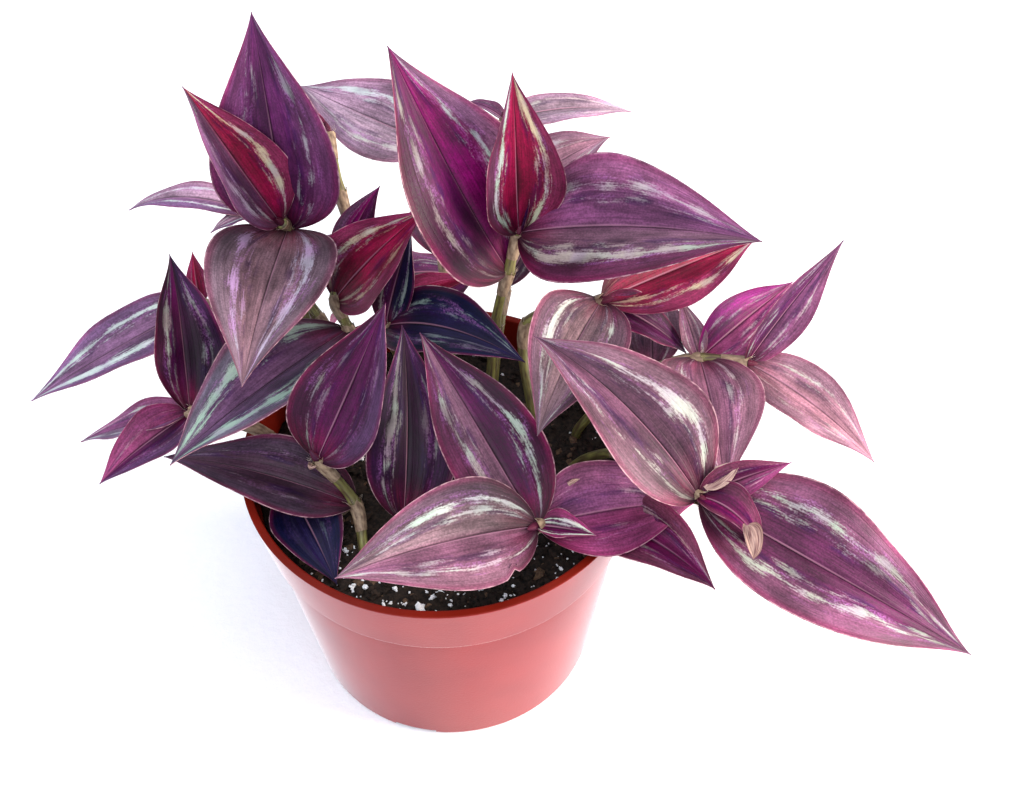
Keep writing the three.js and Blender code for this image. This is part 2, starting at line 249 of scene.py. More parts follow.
# The lower half of each notch's cutter lies under the pot
for i in range(NOTCHES):
    across = Matrix.Translation((FOOT_RADIUS * MM, 0, 0))
    shape = Matrix.Diagonal((NOTCH_DEPTH * MM, NOTCH_WIDTH * MM, 2 * NOTCH_HEIGHT * MM, 1))
    angle = math.radians(FIRST_NOTCH + 360 * i / NOTCHES)
    bmesh.ops.create_cube(cutters, size=1, matrix=Matrix.Rotation(angle, 4, "Z") @ across @ shape)
cutter_mesh = bpy.data.meshes.new("drainage_cutters")
cutters.to_mesh(cutter_mesh)
cutters.free()
cutter = bpy.data.objects.new("drainage_cutters", cutter_mesh)
scene.collection.objects.link(cutter)
cut = pot.modifiers.new("drainage", "BOOLEAN")
cut.object = cutter
cut.solver = "EXACT"
pot.data = bpy.data.meshes.new_from_object(pot.evaluated_get(bpy.context.evaluated_depsgraph_get()))
pot.modifiers.clear()
bpy.data.objects.remove(cutter)
pot.data.set_sharp_from_angle(angle=math.radians(SHARP_ANGLE))
# Only the outside was moulded against grained steel: the lip's top and the inside are smooth,
# and their deeper red is painted shade
for face in pot.data.polygons:
    on_lip = face.center.z > (POT_HEIGHT - LIP_TOP) * MM
    looks_inward = face.normal.xy.dot(face.center.xy) < 0 and face.center.z > FLOOR * MM
    face.material_index = 1 if on_lip or looks_inward else 0
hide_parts("pot")
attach(pot, "root")

# Soil: a dark peat mix, filled to a centimetre under the rim and settled by watering. It is
# crumbly on top, with grains of white perlite and bits of brown bark among the crumbs.
GAP = 0.3
SOIL_Z = 69
SOIL_SIDES = 260
SOIL_RINGS = 64
SOIL_EDGE_RADIUS = 51
SOIL_UNEVENNESS = 0.6
CRUMB_SIZE = 3.2
CRUMB_RISE = 1.1
DUST_SIZE = 0.9
DUST_RISE = 0.35
SINK = 0.22
TILT = 0.5
KNOBS = 3.5
# Painted shade: behind this line fine grains are left out
SHADED_BEHIND_Y = -24


def soil_height(x, y):
    """The soil's height at a place: slow waves a few centimetres long, then crumbs, then dust."""
    slow = math.sin(x / 5 + 1) * math.cos(y / 6) + 0.5 * math.sin(x / 2.3 - y / 3.1)
    crumbs = noise.turbulence(Vector((x, y, 0)) / CRUMB_SIZE, 3, False)
    dust = noise.noise(Vector((x, y, 9)) / DUST_SIZE)
    return SOIL_Z + SOIL_UNEVENNESS * slow + CRUMB_RISE * (crumbs - 0.4) + DUST_RISE * dust


def mottled(name, values, dark, light, size, contrast):
    """A material with a colour between two, rough in patches of about that size."""
    made, tree, shader = new_material(name, values)
    where = add_node(tree, "TexCoord", {}, "Object")
    inputs = {"Vector": where, "Scale": 1 / (size * MM), "Detail": 4, "Roughness": 0.65}
    patches = add_node(tree, "TexNoise", inputs, "Fac")
    reach = (0.5 - contrast, 0.5 + contrast)
    toned_relief(tree, shader, patches, reach, (dark, light), patches, strength=0.6, depth=0.15 * size)
    return made


# Moist peat: nearly black, with browner fibres and no shine
peat = mottled(
    "moist_peat", {"Roughness": 0.9, "IOR": 1.35}, "#0b0908", "#33271f", size=1.1, contrast=0.16,
)
# Expanded perlite: a foamed white glass with a broken, chalky surface
perlite = mottled(
    "expanded_perlite", {"Roughness": 0.85, "IOR": 1.5}, "#e4e8ea", "#ffffff", size=0.8, contrast=0.2,
)
# Composted bark: brown splinters with a fibrous grain
bark = mottled(
    "composted_bark", {"Roughness": 0.8, "IOR": 1.45}, "#2a1b12", "#6a5038", size=0.7, contrast=0.2,
)

soil_side = [
    (0, FLOOR + GAP),
    (STEP_RADIUS - GAP, FLOOR + GAP),
    (STEP_RADIUS + CHANNEL_SLOPE - GAP, CHANNEL_FLOOR + GAP),
    (inside_radius(CHANNEL_FLOOR) - GAP, CHANNEL_FLOOR + GAP),
    (inside_radius(COLLAR_Z) - GAP, COLLAR_Z),
    (SOIL_EDGE_RADIUS - 1, COLLAR_Z + 2),
]
soil_top = [(radius, SOIL_Z) for radius in np.linspace(SOIL_EDGE_RADIUS, 0, SOIL_RINGS)]
soil_verts, soil_faces = turned(soil_side + soil_top, SOIL_SIDES)
soil_verts = [(x, y, soil_height(x, y) if z == SOIL_Z else z) for x, y, z in soil_verts]
soil = new_piece("peat_surface", soil_verts, soil_faces, [peat], sharp_angle=180)
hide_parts("soil")
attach(soil, "root")


def lumps(places, flatness, raggedness, seed):
    """Vertices and faces of broken lumps. A place is x, y and diameter. A lump lies half sunk in,
    its middle above the soil by the SINK share of its height."""
    draw = random.Random(seed)
    ball = bmesh.new()
    bmesh.ops.create_icosphere(ball, subdivisions=2, radius=0.5)
    shape = [vert.co.copy() for vert in ball.verts]
    triangles = [[vert.index for vert in face.verts] for face in ball.faces]
    ball.free()
    verts, faces = [], []
    for x, y, size in places:
        turn = Matrix.Rotation(draw.uniform(0, 2 * math.pi), 3, "Z")
        turn @= Matrix.Rotation(draw.uniform(-TILT, TILT), 3, "X")
        stretch = Vector((draw.uniform(1, 1.5), draw.uniform(0.7, 1), flatness))
        centre = Vector((x, y, soil_height(x, y) + SINK * size * flatness))
        shift = Vector((draw.uniform(0, 90), 0, 0))
        faces += [[len(verts) + corner for corner in triangle] for triangle in triangles]
        for point in shape:
            swell = 1 + raggedness * noise.noise(point * KNOBS + shift)
            verts.append(centre + turn @ (point * stretch) * swell * size)
    return verts, faces


def strewn(count, smallest, largest, seed):
    """Random places on the soil, more of them small than large, clear of the pot's wall."""
    draw = random.Random(seed)
    places = []
    for _ in range(count):
        size = smallest + (largest - smallest) * draw.random() ** 3
        reach = (SOIL_EDGE_RADIUS - 1 - size) * math.sqrt(draw.random())
        angle = draw.uniform(0, 2 * math.pi)
        places.append((reach * math.cos(angle), reach * math.sin(angle), size))
    return places


# The grains that lie in the open at the front, as x, y and diameter
FRONT_GRAINS = [
    (-5.5, -44.8, 3.3), (-26, -25.4, 1.4), (-23.5, -37.5, 1.8), (-20.1, -37.5, 1.2),
    (-12.2, -38, 1.1), (-2.2, -41.1, 1.3), (-0.4, -40.2, 1.5), (6.2, -40.7, 1.3),
    (-33, -30.5, 1.2), (16.6, -40.9, 1.5), (-27.7, -36.4, 1.1), (-13.3, -42.4, 1), (2.3, -43.7, 1.1),
]
crumb_places = strewn(count=900, smallest=0.8, largest=3.2, seed=1)
crumb_mesh = lumps(crumb_places, flatness=0.7, raggedness=0.9, seed=2)
crumbs = new_piece("peat_crumbs", *crumb_mesh, [peat])
# Fine grains, most of them at the front: behind it they are left out, so that the soil under the
# leaves looks darker, as painted shade
fine = strewn(count=700, smallest=0.4, largest=1.1, seed=7)
unshaded_fine_grains = [place for place in fine if place[1] < SHADED_BEHIND_Y]
grain_places = FRONT_GRAINS + unshaded_fine_grains + strewn(count=200, smallest=0.3, largest=1.6, seed=3)
grain_mesh = lumps(grain_places, flatness=0.85, raggedness=0.8, seed=4)
grains = new_piece("perlite_grains", *grain_mesh, [perlite], sharp_angle=25)
bit_places = strewn(count=240, smallest=0.6, largest=3.6, seed=5)
bit_mesh = lumps(bit_places, flatness=0.35, raggedness=0.7, seed=6)
bits = new_piece("bark_bits", *bit_mesh, [bark], sharp_angle=25)
for piece in (crumbs, grains, bits):
    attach(piece, "root")

# Leafy stems: jointed, fleshy green-brown canes as thick as a matchstick. At each joint a papery
# sheath clasps the cane and a pointed leaf grows from it, soft, thin and slightly hairy.
STEM_RADIUS = 1.4
STEM_SIDES = 16
STEM_RINGS = 90
ASIDE = (0.31, 0.95, 0.05)
JOINT_SWELLING = 0.35
JOINT_LENGTH = 2.2
END_TAPER = 0.6
SHEATH_MOUTH_RADIUS = 2.1
SHEATH_FOOT_RADIUS = 1.6
SHEATH_BELOW_JOINT = 7.5
SHEATH_PAST_JOINT = 0.6
SHEATH_RINGS = 10
SHEATH_PAPER = 0.12
SHEATH_TEARS = (-0.9, 0.5)
HAIRS = 16
HAIR_LENGTHS = (1.14, 1.9)
HAIR_LEAN = (0.2, 0.9)
HAIR_RADIUS = 0.07
HAIR_FOOT = 0.95
BUD = [(0, 1.2), (1.5, 1.05), (2.8, 0.6), (3.6, 0.1)]
UPRIGHT_Z = (52, SOIL_Z - 5, SOIL_Z + 2)
BLADE = 0.5
BLADE_ROWS = 56
BLADE_COLUMNS = 29
COLUMN_SPREAD = 1.15
ROOT_HALF_WIDTH = 1
TIP_HALF_WIDTH = 0.15
WIDEST_POWER = 0.66
TIP_PINCH = 0.35
MIDRIB_GROOVE = 0.06
GROOVE_SPREAD = 0.07
RIB = 0.25
RIB_SPREAD = 0.06
HALF_SWELL = 0.07
EDGE_THINNING = 0.6
EDGE_WAVE = 0.8
EDGE_WAVES = (1.3, 2.4)
PLEAT = 0.3
PLEATS = 2.6
WIDE_HALF = 10
TEAR = 1.6
TEAR_SPREAD = 0.02
TORN_FROM = 0.8
UNTORN = 9
SCALE_THICKNESS = 0.15
TONE_BLEND = 0.16
UNDERSIDE_STRIPE = 0.15
VEINS = 9
STREAKS_ROUND = 9
UNDERSIDE = "#7c2a58"
BUD_SKIN = "#7c3c50"
GLOSS = 0.02
SKIN_DEPTH = 0.77

# Numbers of the stems' materials
SKIN, CANE, SHEATH, HAIR, WITHERED = range(5)

# Each tone of leaf skin as it looks in bright light: towards the edge, beside the midrib, and in the
# silvery stripe. Some tones hold painted light: the red of crimson is painted glow, as of light
# shining through a leaf from behind, and navy is dark with painted shade. Where a leaf's two halves
# take two tones, that is partly their own colour and partly painted light, one half lit and the
# other in shade.
TONES = {
    "violet": ("#6c4062", "#603458", "#c0c2c0"),
    "grape": ("#624464", "#562c4a", "#ac8c9c"),
    "berry": ("#865e80", "#5a3c52", "#b8a0b6"),
    "magenta": ("#6c4c64", "#7e225e", "#a8c8be"),
    "fuchsia": ("#922a7c", "#760e5e", "#b4bab8"),
    "orchid": ("#8e466c", "#8e466c", "#f0d8d8"),
    "heather": ("#9e6084", "#845074", "#dad2cc"),
    "plum": ("#62384e", "#7a5868", "#c0b2a8"),
    "crimson": ("#863a56", "#8c2444", "#dccca8"),
    "wine": ("#44143a", "#58204a", "#a29a94"),
    "night": ("#402244", "#3a1038", "#9a8a8e"),
    "shadow": ("#4c3e4a", "#4e3a46", "#dcc4cc"),
    "navy": ("#20283e", "#322e46", "#98a2a0"),
    "slate": ("#645c6a", "#604860", "#a2b8aa"),
    "dusk": ("#6c5460", "#866c72", "#dee6da"),
    "clay": ("#74606a", "#866870", "#cfa4d2"),
    "umber": ("#785a66", "#644656", "#ccd2c2"),
    "mulberry": ("#764c64", "#5c344e", "#aeb8a8"),
    "mauve": ("#926878", "#926278", "#e6dcd6"),
    "cream": ("#8e3a64", "#5e224a", "#eef2de"),
    "rose": ("#9c7484", "#b88494", "#dad6ca"),
    "blush": ("#b08ea4", "#ae92a2", "#e2d2cc"),
    "lilac": ("#826084", "#8c6686", "#eef2ee"),
    "mist": ("#b68ca4", "#b894a8", "#ffffff"),
    "garnet": ("#784258", "#68224e", "#d6b0ae"),
    "ruby": ("#5e3c50", "#7a2640", "#a8bcb0"),
}


def skin_colour(tone):
    """The skin's own colour: its tone, less the gloss that lies over it and the bright light."""
    return [max(channel - GLOSS, 0.002) * SKIN_DEPTH for channel in linear(tone)[:3]]


def leaf(
    node, heading, rise, length, width, droop, roll, cup, sweep, tones, stripes, torn_at=UNTORN,
):
    """A leaf on one of its stem's nodes, with the tone and the stripe's strength in both halves or
    in its left and right half, and the share of its length where its left edge is torn. The angles
    are as in the solids: heading and rise at the base, droop by the tip."""
    tones, stripes = (tones.split() * 2)[:2], np.broadcast_to(stripes, 2)
    return dict(
        node=node, heading=heading, rise=rise, length=length, width=width, droop=droop, roll=roll,
        cup=cup, sweep=sweep, tones=tones, stripes=stripes, torn_at=torn_at,
    )


def scale(base, heading, rise, length, width, droop, roll, cup, kind):
    """A dried scale or leaf tip at a place, of sheath paper or withered skin."""
    return dict(
        base=base, heading=heading, rise=rise, length=length, width=width, droop=droop, roll=roll,
        cup=cup, sweep=0, tones=("clay", "clay"), stripes=(0, 0), torn_at=UNTORN, kind=kind,
    )


STEMS = [
    dict(
        name="tall_left", root=(-25, 13), nodes=[(-37, 32, 92), (-42, 50, 117), (-43, 46, 123)],
        leaves=[
            leaf(1, 100, 95, 67, 36, 20, -15, 0.25, 5, "violet", 0.7),
            leaf(2, 190, 69, 51, 24, 0, -50, 0.5, 0, "berry crimson", (0.8, 1)),
            leaf(1, -95, 16, 64, 36, 25, -5, 0.25, 0, "clay", (1.1, 0.9)),
        ],
    ),
    dict(
        name="top", root=(13, 20), nodes=[(15, 29, 98), (19, 31, 117), (22, 34, 128)],
        leaves=[
            leaf(1, 183, 68, 75, 40, 0, -37, 0.25, -24, "wine magenta", (0.7, 0.8)),
            leaf(2, 120, 90, 50, 26, 5, -10, 0.5, 0, "ruby crimson", (1.2, 1.3)),
            leaf(2, -28, 31, 69, 38, 27, 28, 0.25, 5, "heather plum", (0.8, 1.2)),
            leaf(2, 60, 75, 20, 8, 10, 0, 0.7, 0, "night", 0.4),
        ],
    ),
    dict(
        name="mid_right", root=(26, 14), nodes=[(24, 28, 100), (44, 25, 111)],
        leaves=[
            leaf(1, 30, 0, 55, 27, 10, 30, 0.45, 5, "crimson", (0.6, 1)),
            leaf(1, -115, 12, 49, 28, 32, -15, 0.3, 5, "dusk", (0.8, 0.9)),
            leaf(1, -10, -20, 30, 14, 30, 10, 0.3, 0, "wine", 0.4),
        ],
    ),
    dict(
        name="front_left", root=(-21, -26), nodes=[(-23, -17, 78), (-32, -12, 91)],
        leaves=[
            leaf(0, 164, 20, 54, 24, 26, -5, 0.25, 5, "shadow", (0.3, 0.4)),
            leaf(1, 25, 62, 51, 28, 0, 35, 0.4, 10, "wine grape", 0.6),
        ],
        scales=[
            scale((-24.5, -18, 77), 190, -10, 5, 4, 30, 0, 0.5, SHEATH),
            scale((-33, -13, 89.5), -120, 0, 4, 4, -100, 0, 0.8, WITHERED),
        ],
    ),
    dict(
        name="centre", root=(-8, -22), nodes=[(-10, -22, 77)],
        leaves=[
            leaf(0, 80, 46, 52, 26, 8, 25, 0.25, 18, "night", (1.2, 0.5)),
        ],
    ),
    dict(
        name="front", root=(38, -18), nodes=[(37, -22, 80), (25, -33, 88)],
        leaves=[
            leaf(1, 127, 38, 59, 28, 20, -4, 0.22, -5, "plum wine", (0.9, 1.2)),
            leaf(1, -158, 22, 54, 30, 36, -31, 0.33, -5, "mauve dusk", 1, torn_at=0.2),
            leaf(1, 17, 0, 47, 28, 28, 20, 0.3, 5, "heather orchid", (0.4, 0.3)),
            leaf(1, -14, 8, 15.5, 10.5, 12, 0, 0.5, 0, "cream", 1.2),
            leaf(0, -31, 16, 42, 24, 55, 0, 0.3, 0, "garnet", (0.8, 0.6)),
        ],
        scales=[
            scale((33.4, -23.6, 92.8), 32, 12, 3.6, 2, 25, 20, 0.9, WITHERED),
        ],
    ),
    dict(
        name="front_right", root=(36, 0), nodes=[(50, -14, 93), (66, -31, 96)],
        leaves=[
            leaf(1, 145, 56, 60, 33, 50, -8, 0.3, 0, "umber", (0.85, 0.9)),
            leaf(1, -25, -18, 85, 38, 18, 15, 0.3, 14, "mulberry", (0.9, 1)),
            leaf(1, 15, 20, 25, 11, 15, 30, 0.4, 0, "garnet orchid", (0.6, 0.5)),
            leaf(1, -35, 25, 22, 14, 100, 0, 0.6, 0, "garnet", 0.1),
        ],
        scales=[
            scale((77, -40.5, 96.5), -80, 15, 9.5, 8.5, 100, 0, 0.9, WITHERED),
            scale((67.5, -30, 98.2), 30, 20, 12, 6.5, 0, 0, 0.2, WITHERED),
        ],
    ),
    dict(
        name="right", root=(38, 14), nodes=[(58, 17, 92), (71, 18, 95), (84, 17, 94)],
        leaves=[
            leaf(1, 42, 8, 39, 19, 5, 30, 0.5, 0, "fuchsia orchid", (0.6, 0.9)),
            leaf(1, -87, 20, 46, 30, 45, -10, 0.25, 0, "mauve", (0.8, 0.9)),
            leaf(1, 110, 40, 18, 8, 10, 0, 0.3, 0, "mauve rose", (0.7, 1)),
            leaf(0, 85, 10, 38, 18, 30, 0, 0.25, 0, "mauve", 0.7),
            leaf(2, 35, 48, 42, 15, 10, 65, 0.4, 0, "violet heather", 0.8),
            leaf(2, -31, -8, 45, 20, 34, 10, 0.25, 0, "rose", (0.8, 0.6)),
        ],
    ),
    dict(
        name="left", root=(-36, 2), nodes=[(-53, 5, 86), (-69, 9, 87)],
        leaves=[
            leaf(1, 95, 35, 46, 24, 10, 30, 0.4, 10, "wine night", (1, 0.8)),
            leaf(1, 177, -15, 36, 17, 14, 12, 0.25, 0, "lilac heather", 1),
            leaf(1, -140, 0, 31, 16, 25, -20, 0.4, 0, "grape orchid", (0.4, 0.3)),
        ],
    ),
    dict(
        name="far_left", root=(-31, 19), nodes=[(-44, 31, 89), (-70, 47, 92)],
        leaves=[
            leaf(1, -147, -4, 55, 22, 16, -5, 0.25, -6, "lilac", (1.4, 1.3)),
            leaf(1, 100, 60, 15, 7, 10, 0, 0.3, 0, "crimson", 0.2),
        ],
    ),
    dict(
        name="mid_left", root=(-16, 12), nodes=[(-26, 31, 96), (-30, 40, 99), (-27, 46, 108)],
        leaves=[
            leaf(0, -128, 15, 68, 36, 20, 5, 0.25, 0, "slate", 1.4),
            leaf(1, -13, 58, 48, 26, 10, 55, 0.45, 0, "crimson", (1, 0.8)),
            leaf(2, 26, 70, 26, 12, 20, 40, 0.3, 0, "magenta wine", 0.5),
        ],
    ),
    dict(
        name="inner", root=(-4, 14), nodes=[(-16, 36, 92)],
        leaves=[
            leaf(0, -34, 38, 50, 24, 48, 18, 0.3, 0, "navy", 0.8),
            leaf(0, 22, 25, 30, 18, 15, 30, 0.4, 0, "crimson wine", 0.2),
            leaf(0, 60, 60, 29, 13, 10, 10, 0.3, 0, "wine navy", 1),
        ],
    ),
    dict(
        name="pot_edge", root=(-38, -8), nodes=[(-41, -12, 77)],
        leaves=[
            leaf(0, -62, 0, 30, 20, 25, 0, 0.25, 0, "navy", (0.3, 0.1)),
        ],
    ),
    dict(
        name="back_left", root=(-22, 30), nodes=[(-36, 44, 88), (-56, 73, 103)],
        leaves=[
            leaf(1, 168, 24, 42, 11, 62, -10, 0.25, 0, "lilac mist", 1),
            leaf(1, 100, 20, 44, 22, 30, 0, 0.25, 0, "plum", 0.8),
            leaf(1, -150, 10, 14, 6, 30, 0, 0.3, 0, "lilac mist", 1),
            leaf(0, 170, 0, 36, 18, 40, 0, 0.3, 0, "plum", 0.8),
        ],
    ),
    dict(
        name="tall_back", root=(-12, 36), nodes=[(-22, 50, 100), (-28, 62, 120), (-31, 74, 131)],
        leaves=[
            leaf(2, 172, 30, 24, 11, 30, 0, 0.3, 0, "plum", 0.8),
            leaf(0, 122, 0, 30, 15, 30, 0, 0.25, 0, "heather plum", 0.8),
        ],
    ),
    dict(
        name="back", root=(2, 36), nodes=[(0, 62, 94), (-1, 92, 112)],
        leaves=[
            leaf(1, 152, 5, 53, 27, 8, -32, 0.25, -12, "blush mist", 1),
            leaf(1, 80, 30, 18, 7, 50, 0, 0.3, 0, "heather", 0.5),
            leaf(0, 95, 0, 44, 22, 35, 0, 0.25, 0, "plum violet", 0.9),
        ],
    ),
    dict(
        name="back_right", root=(14, 32), nodes=[(18, 52, 91), (24, 80, 106), (19, 98, 116)],
        leaves=[
            leaf(2, 18, 5, 42, 13, 30, 10, 0.25, 0, "blush", 0.9),
            leaf(2, 150, 35, 15, 6, 60, 0, 0.5, 0, "violet heather", 0.9),
            leaf(1, 25, 25, 30, 24, 20, 0, 0.25, 0, "rose", 1),
            leaf(0, 60, 25, 30, 12, 20, 0, 0.3, 0, "plum", 0.8),
        ],
    ),
    dict(
        name="trailing_back", root=(-8, 30), nodes=[(-12, 51, 87), (-16, 69, 80), (-20, 80, 64)],
        leaves=[
            leaf(1, 115, -20, 42, 21, 35, 0, 0.25, 0, "plum", 0.9),
            leaf(1, 35, -15, 38, 19, 40, 0, 0.25, 0, "violet plum", 0.9),
            leaf(2, 60, -40, 42, 21, 25, 0, 0.25, 0, "heather plum", (1, 0.9)),
            leaf(2, 150, -35, 40, 20, 30, 0, 0.25, 0, "plum heather", (0.9, 1)),
        ],
    ),
    dict(
        name="low_right", root=(28, 26), nodes=[(40, 39, 89), (54, 58, 90)],
        leaves=[
            leaf(1, 60, 10, 38, 20, 35, 0, 0.25, 0, "heather plum", 0.9),
            leaf(1, 130, 10, 36, 18, 30, 0, 0.25, 0, "plum violet", 0.9),
            leaf(0, 0, 5, 34, 18, 30, 0, 0.25, 0, "plum wine", 0.8),
        ],
    ),
]


def turned_about(vector, axis, degrees):
    """The vector turned about a unit axis at right angles to it."""
    angle = math.radians(degrees)
    return vector * math.cos(angle) + np.cross(axis, vector) * math.sin(angle)


def blade_profile(t):
    return np.sin(math.pi * t**WIDEST_POWER) * (1 - TIP_PINCH * t**6)


def blade_direction(blade, t):
    pitch = math.radians(blade["rise"] - blade["droop"] * t)
    turn = math.radians(blade["heading"] + blade["sweep"] * t)
    level = math.cos(pitch)
    return np.array([level * math.cos(turn), level * math.sin(turn), math.sin(pitch)])


class Growth:
    """The mesh of one leafy stem as it grows: vertices, faces, and what the materials read."""

    def __init__(self):
        self.verts, self.faces, self.kinds = [], [], []
        self.values = {name: [] for name in ("place", "size", "outer", "centre", "stripe")}
        self.amounts = []

    def add(self, verts, faces, kind, amounts=0, **values):
        """Adds vertices, faces and their material's number. Values are one per vertex, or one."""
        start = len(self.verts)
        self.verts += list(verts)
        self.faces += [[start + corner for corner in face] for face in faces]
        self.kinds += [kind] * len(faces)
        for name, kept in self.values.items():
            kept += list(np.broadcast_to(values.get(name, np.zeros(3)), (len(verts), 3)))
        self.amounts += list(np.broadcast_to(amounts, len(verts)))


def grid_faces(rows, columns, start=0, flipped=False):
    faces = []
    for row in range(rows - 1):
        for column in range(columns - 1):
            a = start + row * columns + column
            face = (a, a + columns, a + columns + 1, a + 1)
            faces.append(face[::-1] if flipped else face)
    return faces


def add_blade(growth, base, blade, seed, kind=SKIN, thickness=BLADE):
    """A leaf blade: the solids' own form, with a grooved midrib, full and pleated halves, and wavy
    edges. Underneath, the midrib stands out as a rib."""
    draw = random.Random(seed)
    places = 0.5 - 0.5 * np.cos(np.linspace(0, math.pi, BLADE_ROWS))
    spread = np.linspace(-1, 1, BLADE_COLUMNS)
    across = np.sign(spread) * np.abs(spread) ** COLUMN_SPREAD
    phase = np.where(across > 0, draw.random(), draw.random())
    waves = np.where(across > 0, draw.uniform(*EDGE_WAVES), draw.uniform(*EDGE_WAVES))
    cup = blade["cup"]
    point = np.array(base, float)
    top, under, place = [], [], []
    for row, t in enumerate(places):
        if row > 0:
            step = t - places[row - 1]
            point = point + blade_direction(blade, t - step / 2) * blade["length"] * step
        ahead = blade_direction(blade, t)
        turn = math.radians(blade["heading"] + blade["sweep"] * t)
        side = turned_about(np.array([-math.sin(turn), math.cos(turn), 0]), ahead, blade["roll"])
        up = np.cross(ahead, side)
        half = blade["width"] / 2 * blade_profile(t)
        half = max(half, ROOT_HALF_WIDTH if t < 0.5 else TIP_HALF_WIDTH)
        bitten = TEAR * math.exp(-(((t - blade["torn_at"]) / TEAR_SPREAD) ** 2))
        bend = 2 * cup * across
        sideways = half * np.sin(bend) / (2 * cup) - np.where(across > TORN_FROM, bitten, 0)
        lift = half * (1 - np.cos(bend)) / (2 * cup)
        full = half * (HALF_SWELL * np.sin(math.pi * np.abs(across)) * np.sin(math.pi * t) ** 0.5)
        groove = half * MIDRIB_GROOVE * np.exp(-np.abs(across) / GROOVE_SPREAD)
        wave = EDGE_WAVE * np.abs(across) ** 3 * np.sin(2 * math.pi * (waves * t + phase))
        pleat = PLEAT * np.cos(2 * math.pi * PLEATS * np.abs(across)) * (1 - np.abs(across))
        lift = lift + full - groove + (wave + pleat) * min(1, half / WIDE_HALF)
        thick = thickness / 2 * (1 - EDGE_THINNING * across**2)
        rib = RIB * np.exp(-((across / RIB_SPREAD) ** 2)) * (1 - t)
        middle = point + np.outer(sideways, side) + np.outer(lift, up)
        top += list(middle + np.outer(thick, up))
        under += list(middle - np.outer(thick + rib, up))
        place += [(v, t, seed) for v in across]
    count = len(top)
    faces = grid_faces(BLADE_ROWS, BLADE_COLUMNS)
    faces += grid_faces(BLADE_ROWS, BLADE_COLUMNS, start=count, flipped=True)
    rim = [row * BLADE_COLUMNS for row in range(BLADE_ROWS)]
    rim += list(range(count - BLADE_COLUMNS + 1, count))
    rim += [row * BLADE_COLUMNS + BLADE_COLUMNS - 1 for row in range(BLADE_ROWS - 2, -1, -1)]
    rim += list(range(BLADE_COLUMNS - 2, 0, -1))
    for a, b in zip(rim, rim[1:] + rim[:1]):
        faces.append((a, count + a, count + b, b))
    across = np.array([v for v, _, _ in place])
    blend = np.clip(0.5 + across / TONE_BLEND, 0, 1)[:, None]
    tones = {}
    for number, part in enumerate(("outer", "centre", "stripe")):
        colours = [np.array(skin_colour(TONES[tone][number])) for tone in blade["tones"]]
        above = blend * colours[0] + (1 - blend) * colours[1]
        below = np.broadcast_to(skin_colour(UNDERSIDE), (count, 3))
        tones[part] = np.concatenate([above, below])
    amounts = np.where(across > 0, *blade["stripes"])
    growth.add(
        top + under, faces, kind, np.concatenate([amounts, UNDERSIDE_STRIPE * amounts]),
        place=np.array(place + place),
        size=np.array((blade["width"] / 2, blade["length"], 0)),
        **tones,
    )


def curve_point(points, share):
    """A point on the smooth centripetal curve through the points, as the solids' stems run."""
    spans = len(points) - 1
    span = min(int(share * spans), spans - 1)
    s = share * spans - span
    here, there = points[span], points[span + 1]
    before = points[span - 1] if span > 0 else 2 * here - there
    after = points[span + 2] if span + 2 <= spans else 2 * there - here
    runs = ((before, here), (here, there), (there, after))
    first, own, last = [np.linalg.norm(end - start) ** 0.5 for start, end in runs]
    leave = (here - before) / first - (there - before) / (first + own) + (there - here) / own
    arrive = (there - here) / own - (after - here) / (own + last) + (after - there) / last
    leave, arrive = leave * own, arrive * own
    return (
        (2 * s**3 - 3 * s**2 + 1) * here + (s**3 - 2 * s**2 + s) * leave
        + (3 * s**2 - 2 * s**3) * there + (s**3 - s**2) * arrive
    )


def ring_faces(rings, closed=False):
    """Faces between rings of STEM_SIDES vertices, and from the last ring to the first if closed."""
    count = rings * STEM_SIDES
    faces = []
    for i in range(rings if closed else rings - 1):
        for k in range(STEM_SIDES):
            a, b = i * STEM_SIDES + k, i * STEM_SIDES + (k + 1) % STEM_SIDES
            faces.append((a, b, (b + STEM_SIDES) % count, (a + STEM_SIDES) % count))
    return faces


def add_tube(growth, points, radii, kind, seed, **values):
    """A round tube along the points. Its place values are the way round and the way along."""
    points = np.array(points)
    ahead = np.gradient(points, axis=0)
    across = unit(np.cross(ahead[0], ASIDE))
    verts, place = [], []
    travelled = 0
    for i, point in enumerate(points):
        along = unit(ahead[i])
        across = unit(across - along * np.dot(across, along))
        travelled += np.linalg.norm(point - points[i - 1]) if i else 0
        for k in range(STEM_SIDES):
            verts.append(point + radii[i] * turned_about(across, along, 360 * k / STEM_SIDES))
            place.append((k / STEM_SIDES, travelled, seed))
    faces = ring_faces(len(points))
    faces.append(list(range(STEM_SIDES - 1, -1, -1)))
    faces.append(list(range(len(verts) - STEM_SIDES, len(verts))))
    growth.add(verts, faces, kind, place=np.array(place), **values)


